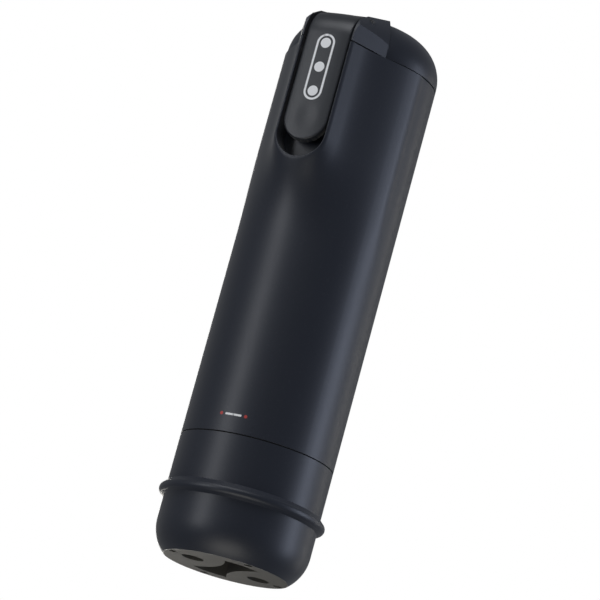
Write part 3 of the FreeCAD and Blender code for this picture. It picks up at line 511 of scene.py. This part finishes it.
class TubeFace:
    """The tube's outer surface with the latch housing blended into it."""
    SEAM_DROP = 0.5 * MM  # the tube's upper edge lies this far below the lid hinge
    FLANK_FOOT = 0.625  # where the flank meets the tube, as a share of the tube's radius
    HOUSING_BACK = 0.4  # the housing ends this share of the radius in front of the axis
    SOFT_START = 10.0 * MM  # depth behind the front at which the chin is fully soft
    LEAST_SOFT = 0.6 * MM
    CREASE_WIDTH = 4  # the blend of the crease is this many roundings wide
    SEARCH_BELOW = 1.0 * MM  # the nearest distance searched lies this far inside the tube
    SEARCH_SHARE = 0.9  # the front is this share of the farthest distance searched
    SEARCH_STEPS = 40

    def __init__(self):
        size = sizes()
        low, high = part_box("outer_tube")
        lever_low, lever_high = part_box("lever_shell")
        self.radius = high.x
        self.low, self.high = low.z, JOINTS["lid_hinge"]["pos_m"][2] - self.SEAM_DROP
        self.front = self.radius + size.housing_rise
        self.slot_half = lever_high.x + size.slot_gap
        self.slot_low = lever_low.z - size.slot_drop
        self.slot_end = self.slot_low + self.slot_half
        self.slot_floor = self.front - size.slot_depth
        self.corner = self.slot_half + size.rim_width
        foot = self.FLANK_FOOT * self.radius
        fall = self.front - math.sqrt(self.radius ** 2 - foot ** 2)
        spread = foot - self.corner
        self.flank_turn = fall / math.hypot(fall, spread)
        self.widening = spread / fall
        self.chin_slope = size.chin_slope
        self.chin_low = self.slot_end - self.corner - (
            self.front - self.radius) * self.chin_slope
        self.chin_round = size.chin_round
        self.crease = size.crease_round

    def outside(self, x, out, up):
        """Below zero inside the blended shape, at points x across and out to the front."""
        face = out - self.front
        wide = self.corner - face * self.widening
        tall = self.corner - face * self.chin_slope
        below = np.maximum(self.slot_end - up, 0)
        ring = np.hypot(x / wide, below / tall)
        sides = (ring - 1) * wide * self.flank_turn
        depth = np.clip(-face / self.SOFT_START, 0, 1)
        soft = self.chin_round * depth * np.clip(below / self.corner, 0, 1)
        housing = soft_max(face, sides, soft + self.LEAST_SOFT)
        housing = np.maximum(housing, self.HOUSING_BACK * self.radius - out)
        tube = np.hypot(x, out) - self.radius
        return -soft_max(-housing, -tube, self.crease * self.CREASE_WIDTH)

    def reach(self, angles, ups):
        """Distances from the axis to the surface for every angle and height."""
        turn, up = np.meshgrid(angles, ups)
        near = np.full(turn.shape, self.radius - self.SEARCH_BELOW)
        far = np.full(turn.shape, self.front / self.SEARCH_SHARE)
        for _ in range(self.SEARCH_STEPS):
            middle = (near + far) / 2
            inside = self.outside(middle * np.sin(turn), middle * np.cos(turn), up) < 0
            near = np.where(inside, middle, near)
            far = np.where(inside, far, middle)
        return near


def prism_between(outline, first, last, place):
    """A closed prism: an outline of (a, b) points pushed from first to last."""
    bm = bmesh.new()
    verts = [bm.verts.new((a, b, first)) for a, b in outline]
    cap = bm.faces.new(verts)
    grown = bmesh.ops.extrude_face_region(bm, geom=[cap])["geom"]
    top = [v for v in grown if isinstance(v, bmesh.types.BMVert)]
    bmesh.ops.translate(bm, verts=top, vec=(0, 0, last - first))
    for vert in verts + top:
        vert.co = place(*vert.co)
    bmesh.ops.recalc_face_normals(bm, faces=bm.faces)
    return bm


PAST = 20.0 * MM  # how far a cutting shape reaches past what it cuts
ROUND_STEPS = 32


def slot_outline(face, extra=0.0, top=PAST):
    """The slot's outline seen from the front, from the top right round to the top left."""
    half = face.slot_half + extra
    points = [(half, face.high + top)]
    for step in range(ROUND_STEPS + 1):
        angle = -math.pi * step / ROUND_STEPS
        points.append((half * math.cos(angle), face.slot_end + half * math.sin(angle)))
    points.append((-half, face.high + top))
    return points


# The envelope's columns, as first angle, last angle and count, are closer in front.
FRONT_COLUMNS, BACK_COLUMNS = (-60, 60, 161), (64, 296, 59)
# The chin's zone has closer rows than the rest of the tube.
LOWER_ROWS, UPPER_ROWS = 12, 24
CHIN_BELOW, CHIN_ABOVE, CHIN_STEP = 12.0 * MM, 6.0 * MM, 0.6 * MM


def tube_envelope(face):
    """A closed solid with the blended outer surface."""
    angles = np.radians(np.concatenate([np.linspace(*FRONT_COLUMNS),
                                        np.linspace(*BACK_COLUMNS)]))
    zone_low, zone_high = face.chin_low - CHIN_BELOW, face.slot_low + CHIN_ABOVE
    ups = np.concatenate([
        np.linspace(face.low, zone_low, LOWER_ROWS)[:-1],
        np.arange(zone_low, zone_high, CHIN_STEP),
        np.linspace(zone_high, face.high, UPPER_ROWS)])
    reach = face.reach(angles, ups)
    bm = bmesh.new()
    rings = [[bm.verts.new((r * math.sin(a), -r * math.cos(a), up))
              for a, r in zip(angles, row)] for row, up in zip(reach, ups)]
    count = len(angles)
    for lower, upper in zip(rings, rings[1:]):
        for index in range(count):
            following = (index + 1) % count
            bm.faces.new((lower[index], lower[following], upper[following], upper[index]))
    bm.faces.new(rings[0])
    bm.faces.new(rings[-1])
    bmesh.ops.recalc_face_normals(bm, faces=bm.faces)
    return bm


class CANISTER_OT_tube_cover(bpy.types.Operator):
    """Makes the outer tube with its softly blended latch housing and the slot's rim"""
    bl_idname = "canister.tube_cover"
    bl_label = "Tube cover"

    BEAD_SIDES = 12
    BEAD_SHORT = 0.2 * MM  # the bead ends this far below the tube's upper edge
    BEAD_SINK = 0.75  # share of its radius that the bead is sunk into the face
    HEAD_ROOM = 0.1 * MM  # free space round the head of a catch pin screw
    KNUCKLE_BLOCK = (40.0 * MM, 20.0 * MM, 40.0 * MM)
    KNUCKLE_DROP = 14.5 * MM
    KNUCKLE_ROOT = 0.5 * MM  # how deep the knuckles start inside the tube

    def execute(self, context):
        face = TubeFace()
        bore = prism_between(ring_points(128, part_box("rim_ring")[1].x),
                             face.low - PAST / 2, face.high + PAST / 2,
                             lambda x, y, up: (x, y, up))
        shaped = boolean(tube_envelope(face), bore, "DIFFERENCE")
        slot = prism_between(slot_outline(face), face.slot_floor, face.front + PAST,
                             lambda x, up, out: (x, -out, up))
        shaped = boolean(shaped, slot, "DIFFERENCE")
        low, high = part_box("catch_pin_screws")
        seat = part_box("catch_pin")[1].x
        centre, radius = (low + high) / 2, (high.z - low.z) / 2 + self.HEAD_ROOM
        for side in (-1, 1):
            hole = prism_between(ring_points(40, radius), seat, face.radius,
                                 lambda a, b, x: (side * x, centre.y + a, centre.z + b))
            shaped = boolean(shaped, hole, "DIFFERENCE")
        cover = piece("tube_cover", shaped, "canister", "soft_navy", angle=28.0)
        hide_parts("outer_tube")
        self.knuckles(face)
        self.rim(face)
        return {"FINISHED"}

    def knuckles(self, face):
        """The hinge knuckles of the CAD tube, cut off just inside its wall."""
        block = bmesh.new()
        bmesh.ops.create_cube(block, size=1.0)
        bmesh.ops.scale(block, vec=self.KNUCKLE_BLOCK, verts=block.verts)
        back = face.radius - self.KNUCKLE_ROOT + self.KNUCKLE_BLOCK[1] / 2
        bmesh.ops.translate(block, vec=(0, back, face.high - self.KNUCKLE_DROP),
                            verts=block.verts)
        shaped = boolean(merged_copy("outer_tube"), block, "INTERSECT")
        piece("tube_knuckles", shaped, "canister", "soft_navy", angle=30.0)

    def rim(self, face):
        """A rounded bead along the slot's edge."""
        bead = sizes().rim_bead
        path = slot_outline(face, bead * 0.5, -self.BEAD_SHORT)
        bm = bmesh.new()
        rows = []
        for index, (x, up) in enumerate(path):
            ahead = Vector(path[min(index + 1, len(path) - 1)])
            behind = Vector(path[max(index - 1, 0)])
            along = (ahead - behind).normalized()
            side = Vector((along.y, -along.x))
            ring = []
            for across, rise in ring_points(self.BEAD_SIDES, bead):
                offset = side * across
                out = face.front - bead * self.BEAD_SINK + rise
                ring.append(bm.verts.new((x + offset.x, -out, up + offset.y)))
            rows.append(ring)
        for first, second in zip(rows, rows[1:]):
            for step in range(self.BEAD_SIDES):
                following = (step + 1) % self.BEAD_SIDES
                bm.faces.new((first[step], first[following], second[following],
                              second[step]))
        bm.faces.new(rows[0])
        bm.faces.new(rows[-1])
        piece("slot_rim", bm, "canister", "soft_navy")


class CANISTER_OT_lever_cover(bpy.types.Operator):
    """Makes the lever's domed cover with its rounded edges and thumb dimple"""
    bl_idname = "canister.lever_cover"
    bl_label = "Lever cover"

    def execute(self, context):
        shaped = boolean(merged_copy("lever_shell"), lever_envelope(LeverFace()),
                         "INTERSECT")
        cover = piece("lever_cover", shaped, "lever", "lever_grey", angle=32.0)
        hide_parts("lever_shell")
        return {"FINISHED"}


def flat_shape(bm, outline, place, depth):
    """A thin printed shape: a flat outline pushed outwards, each point set by place."""
    verts = [bm.verts.new((*point, 0.0)) for point in outline]
    bottom = bm.faces.new(verts)
    grown = bmesh.ops.extrude_face_region(bm, geom=[bottom])["geom"]
    top = [v for v in grown if isinstance(v, bmesh.types.BMVert)]
    for vert in verts:
        vert.co = place(vert.co.x, vert.co.y, -depth)
    for vert in top:
        vert.co = place(vert.co.x, vert.co.y, depth)


def ring_points(count, radius, x=0.0, y=0.0):
    """Points of a circle round x and y."""
    turns = [2 * math.pi * step / count for step in range(count)]
    return [(x + radius * math.cos(turn), y + radius * math.sin(turn)) for turn in turns]


CAPSULE_STEPS = 20  # on each half circle


def capsule_points(length_, width):
    """A slot shape along Y: two half circles joined by straight sides."""
    radius = width / 2
    middle = length_ / 2 - radius
    points = []
    for end, first in ((1, 0.0), (-1, math.pi)):
        for step in range(CAPSULE_STEPS + 1):
            angle = first + math.pi * step / CAPSULE_STEPS
            points.append((radius * math.cos(angle), end * middle + radius * math.sin(angle)))
    return points


class CANISTER_OT_lever_mark(bpy.types.Operator):
    """Prints a capsule with three balls on the lever"""
    bl_idname = "canister.lever_mark"
    bl_label = "Lever mark"

    def execute(self, context):
        size = sizes()
        face = LeverFace()
        middle = face.pivot_up - size.mark_drop

        def place(x, y, lift):
            return face.on_face(x, middle + y, lift)

        bm = bmesh.new()
        outer = capsule_points(size.mark_length, size.mark_width)
        inner = capsule_points(size.mark_length - size.mark_line * 2,
                               size.mark_width - size.mark_line * 2)
        for index in range(len(outer)):
            following = (index + 1) % len(outer)
            quad = [outer[index], outer[following], inner[following], inner[index]]
            flat_shape(bm, quad, place, size.print_depth)
        ball = size.mark_width / 2 - size.mark_line * 2
        gap = (size.mark_length - size.mark_line * 4 - ball * 2) / 2
        for level in (-gap, 0.0, gap):
            rim = ring_points(32, ball, 0.0, level)
            for start, following in zip(rim, rim[1:] + rim[:1]):
                flat_shape(bm, [start, following, (0.0, level)], place, size.print_depth)
        piece("lever_mark", bm, "lever", "lever_grey", "white_print")
        return {"FINISHED"}


class CANISTER_OT_fill_mark(bpy.types.Operator):
    """Prints a short bar between two dots near the tube's lower edge"""
    bl_idname = "canister.fill_mark"
    bl_label = "Fill mark"

    RISE = 9.5 * MM  # above the tube's lower edge
    BAR_HALF, BAR_TALL, BAR_CELLS = 4.6 * MM, 0.55 * MM, 14
    DOT_RADIUS, DOT_PLACE = 0.9 * MM, 7.0 * MM

    def execute(self, context):
        depth = sizes().print_depth
        low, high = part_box("outer_tube")
        radius, level = high.x, low.z + self.RISE

        def place(x, y, lift):
            angle, out = x / radius, radius + lift
            return Vector((out * math.sin(angle), -out * math.cos(angle), level + y))

        bar = bmesh.new()
        cell = 2 * self.BAR_HALF / self.BAR_CELLS
        for index in range(self.BAR_CELLS):
            left = -self.BAR_HALF + cell * index
            right = left + cell
            flat_shape(bar, [(left, -self.BAR_TALL), (right, -self.BAR_TALL),
                             (right, self.BAR_TALL), (left, self.BAR_TALL)], place, depth)
        piece("fill_bar", bar, "canister", "soft_navy", "white_print")
        dots = bmesh.new()
        for side in (-1, 1):
            flat_shape(dots, ring_points(24, self.DOT_RADIUS, side * self.DOT_PLACE), place,
                       depth)
        piece("fill_dots", dots, "canister", "soft_navy", "red_print")
        return {"FINISHED"}


WIRE_SIDES = 10
STEPS_PER_TURN = 28


def coil_spring(name, node, body, turns, wire):
    """A real coil in the place of a spring's rings."""
    low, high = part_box(node)
    centre = (low + high) / 2
    radius = (high.x - low.x) / 2 - wire / 2
    rise = (high.z - low.z) - wire
    bm = bmesh.new()
    ring = bmesh.ops.create_circle(bm, cap_ends=True, segments=WIRE_SIDES,
                                   radius=wire / 2)["verts"]
    bmesh.ops.rotate(bm, verts=ring, cent=(0, 0, 0),
                     matrix=Matrix.Rotation(math.pi / 2, 3, "X"))
    bmesh.ops.translate(bm, verts=ring, vec=(centre.x + radius, centre.y, low.z + wire / 2))
    steps = STEPS_PER_TURN * turns
    bmesh.ops.spin(bm, geom=bm.verts[:] + bm.edges[:] + bm.faces[:],
                   cent=(centre.x, centre.y, low.z), axis=(0, 0, 1),
                   angle=2 * math.pi * turns, steps=steps,
                   dvec=(0, 0, rise / steps), use_duplicate=False)
    spring = piece(name, bm, body, "spring_steel")
    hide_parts(node)
    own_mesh(spring)


class CANISTER_OT_springs(bpy.types.Operator):
    """Makes the coil springs of the inlet and relief valves"""
    bl_idname = "canister.springs"
    bl_label = "Valve springs"

    def execute(self, context):
        wire = sizes().wire
        coil_spring("inlet_coil", "inlet_spring", "canister", 3, wire)
        coil_spring("relief_coil", "relief_spring", "canister", 4, wire)
        return {"FINISHED"}


# ---- stage ----

def area_light(name, place, target, width, height, power, tint):
    """A rectangular light at a place, turned towards the target."""
    light = bpy.data.lights.new(name, "AREA")
    light.shape = "RECTANGLE"
    light.size = width
    light.size_y = height
    light.energy = power
    light.color = tint
    obj = bpy.data.objects.new(name, light)
    aim = (Vector(target) - Vector(place)).to_track_quat("-Z", "Y")
    obj.matrix_world = Matrix.Translation(place) @ aim.to_matrix().to_4x4()
    bpy.context.scene.collection.objects.link(obj)


def around_point(azimuth, elevation, distance, centre):
    """A point seen from the centre: azimuth 0 is in front (-Y) and positive turns right."""
    a, e = math.radians(azimuth), math.radians(elevation)
    return Vector(centre) + distance * Vector((
        math.sin(a) * math.cos(e), -math.cos(a) * math.cos(e), math.sin(e)))


def build_world():
    """White behind the object, and a weak even light on it."""
    world = bpy.data.worlds.new("Studio")
    bpy.context.scene.world = world
    world.use_nodes = True
    tree = world.node_tree
    output = tree.nodes["World Output"]
    seen = tree.nodes["Background"]
    seen.inputs["Color"].default_value = (1, 1, 1, 1)
    seen.inputs["Strength"].default_value = 1.0
    fill = add_node(tree, "ShaderNodeBackground", -200, -200, Strength=0.16)
    fill.inputs["Color"].default_value = (0.96, 0.98, 1.0, 1)
    path = add_node(tree, "ShaderNodeLightPath", -400, 200)
    mix = add_node(tree, "ShaderNodeMixShader", 200, 0)
    tree.links.new(path.outputs["Is Camera Ray"], mix.inputs["Fac"])
    tree.links.new(fill.outputs["Background"], mix.inputs[1])
    tree.links.new(seen.outputs["Background"], mix.inputs[2])
    tree.links.new(mix.outputs["Shader"], output.inputs["Surface"])


FLOOR_RADIUS = 1.6
FLOOR_DROP = 0.4 * MM


def build_floor():
    """A pale floor that is seen from above only, so a low camera looks up through it."""
    bm = bmesh.new()
    bmesh.ops.create_circle(bm, cap_ends=True, segments=96, radius=FLOOR_RADIUS)
    bmesh.ops.translate(bm, verts=bm.verts, vec=(0, 0, CAD_BOX[0][2] - FLOOR_DROP))
    mesh = bpy.data.meshes.new("floor")
    bm.to_mesh(mesh)
    bm.free()
    floor = bpy.data.objects.new("floor", mesh)
    bpy.context.scene.collection.objects.link(floor)
    material, tree, shader = blank_material("Floor")
    shader.inputs["Base Color"].default_value = (0.86, 0.86, 0.86, 1)
    shader.inputs["Roughness"].default_value = 0.8
    clear = add_node(tree, "ShaderNodeBsdfTransparent", 0, -200)
    geometry = add_node(tree, "ShaderNodeNewGeometry", -200, 300)
    mix = add_node(tree, "ShaderNodeMixShader", 300, 100)
    tree.links.new(geometry.outputs["Backfacing"], mix.inputs["Fac"])
    tree.links.new(shader.outputs["BSDF"], mix.inputs[1])
    tree.links.new(clear.outputs["BSDF"], mix.inputs[2])
    tree.links.new(mix.outputs["Shader"], tree.nodes["Material Output"].inputs["Surface"])
    mesh.materials.append(material)
    floor.visible_diffuse = False
    floor.visible_glossy = False
    floor.visible_shadow = False


def build_camera(target):
    """Looks up at the canister from below its base, rolled so that the top leans right."""
    azimuth, elevation, roll = 24.5, -13.82, 15.33
    distance = 1.973
    camera = bpy.data.cameras.new("Camera")
    camera.sensor_width = 36.0
    camera.lens = 219.9
    camera.shift_x = 0.0029
    camera.shift_y = 0.0054
    camera.clip_end = 20.0
    obj = bpy.data.objects.new("Camera", camera)
    spot = around_point(azimuth, elevation, distance, target)
    aim = (Vector(target) - spot).to_track_quat("-Z", "Y").to_matrix().to_4x4()
    obj.matrix_world = Matrix.Translation(spot) @ aim @ Matrix.Rotation(
        math.radians(roll), 4, "Z")
    bpy.context.scene.collection.objects.link(obj)
    bpy.context.scene.camera = obj


COOL, NEUTRAL, WARM = (0.72, 0.80, 1.0), (0.94, 0.96, 1.0), (1.0, 0.97, 0.90)
# Each light: azimuth and elevation in degrees, distance, width, height, power and tint.
LIGHTS = (
    ("Front strip", -31, 4, 1.1, 0.16, 0.9, 3.4, NEUTRAL),
    ("Right strip", 111, 4, 1.1, 0.22, 1.0, 5.2, COOL),
    ("Left rim", -150, 4, 1.2, 0.22, 1.0, 5.0, WARM),
    ("Right rim", 150, 4, 1.2, 0.12, 1.0, 1.1, WARM),
    ("Under", 14, -62, 1.2, 0.7, 0.7, 3.5, WARM),
    ("Over", -10, 55, 1.3, 0.9, 0.6, 6.0, NEUTRAL),
)


class CANISTER_OT_stage(bpy.types.Operator):
    """Sets up the floor, the soft studio light and the camera"""
    bl_idname = "canister.stage"
    bl_label = "Stage"

    def execute(self, context):
        context.scene.view_settings.view_transform = "Standard"
        target = (0.0, 0.0, 0.150)
        build_world()
        build_floor()
        build_camera(target)
        for name, azimuth, elevation, distance, width, height, power, tint in LIGHTS:
            place = around_point(azimuth, elevation, distance, target)
            area_light(name, place, target, width, height, power, tint)
        return {"FINISHED"}


class CANISTER_PT_panel(bpy.types.Panel):
    """Lists the steps that build the canister"""
    bl_idname = "CANISTER_PT_panel"
    bl_label = "Ball canister"
    bl_space_type = "VIEW_3D"
    bl_region_type = "UI"
    bl_category = "Canister"

    def draw(self, context):
        column = self.layout.column(align=True)
        for step in STEPS:
            column.operator(step.bl_idname)
        for group in (context.scene.canister_sizes, context.scene.canister_colours):
            box = self.layout.box()
            for name in group.__annotations__:
                box.prop(group, name)


STEPS = (
    CANISTER_OT_stage,
    CANISTER_OT_finishes,
    CANISTER_OT_tube_cover,
    CANISTER_OT_lever_cover,
    CANISTER_OT_lever_mark,
    CANISTER_OT_fill_mark,
    CANISTER_OT_springs,
)
CLASSES = (CanisterSizes, CanisterColours, *STEPS, CANISTER_PT_panel)


def register():
    for cls in CLASSES:
        bpy.utils.register_class(cls)
    bpy.types.Scene.canister_sizes = PointerProperty(type=CanisterSizes)
    bpy.types.Scene.canister_colours = PointerProperty(type=CanisterColours)


def unregister():
    del bpy.types.Scene.canister_colours
    del bpy.types.Scene.canister_sizes
    for cls in reversed(CLASSES):
        bpy.utils.unregister_class(cls)


def main():
    register()
    bpy.ops.canister.stage()
    bpy.ops.canister.finishes()
    bpy.ops.canister.tube_cover()
    bpy.ops.canister.lever_cover()
    bpy.ops.canister.lever_mark()
    bpy.ops.canister.fill_mark()
    bpy.ops.canister.springs()


if __name__ == "__main__":
    main()
